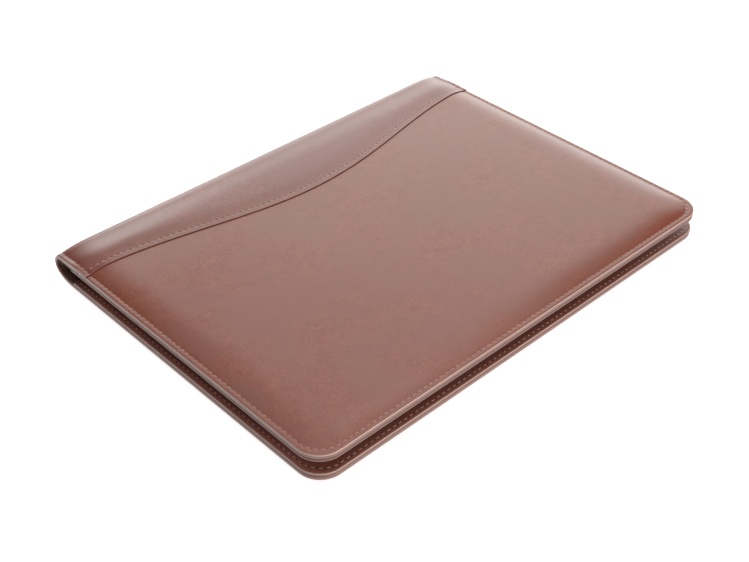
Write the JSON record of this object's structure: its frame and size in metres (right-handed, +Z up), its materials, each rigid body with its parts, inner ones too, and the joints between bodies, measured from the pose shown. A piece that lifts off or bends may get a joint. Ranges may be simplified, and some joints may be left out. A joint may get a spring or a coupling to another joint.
{
  "type": "leather document case",
  "caption": "Closed padded leather document case with a wrapped spine, a bowed overlay seam on its front and rounded fore corners.",
  "frame": {"origin": "middle of the whole case's plan, on the surface that the padded back rests on", "axes": "+X from the spine to the fore edge, +Y along the spine, +Z up through the closed covers"},
  "size_m": [0.2431, 0.325, 0.0245],
  "materials": {
    "outer_leather": "smooth semi-gloss brown",
    "inner_leather": "satin dark brown",
    "spine_lining": "matt dark brown",
    "stitching": "waxed thread"
  },
  "bodies": {
    "root": {"front_panel": "outer_leather", "wrap_panel": "outer_leather", "spine_lining": "spine_lining", "front_lining": "inner_leather", "back_lining": "inner_leather"}
  },
  "joints": []
}
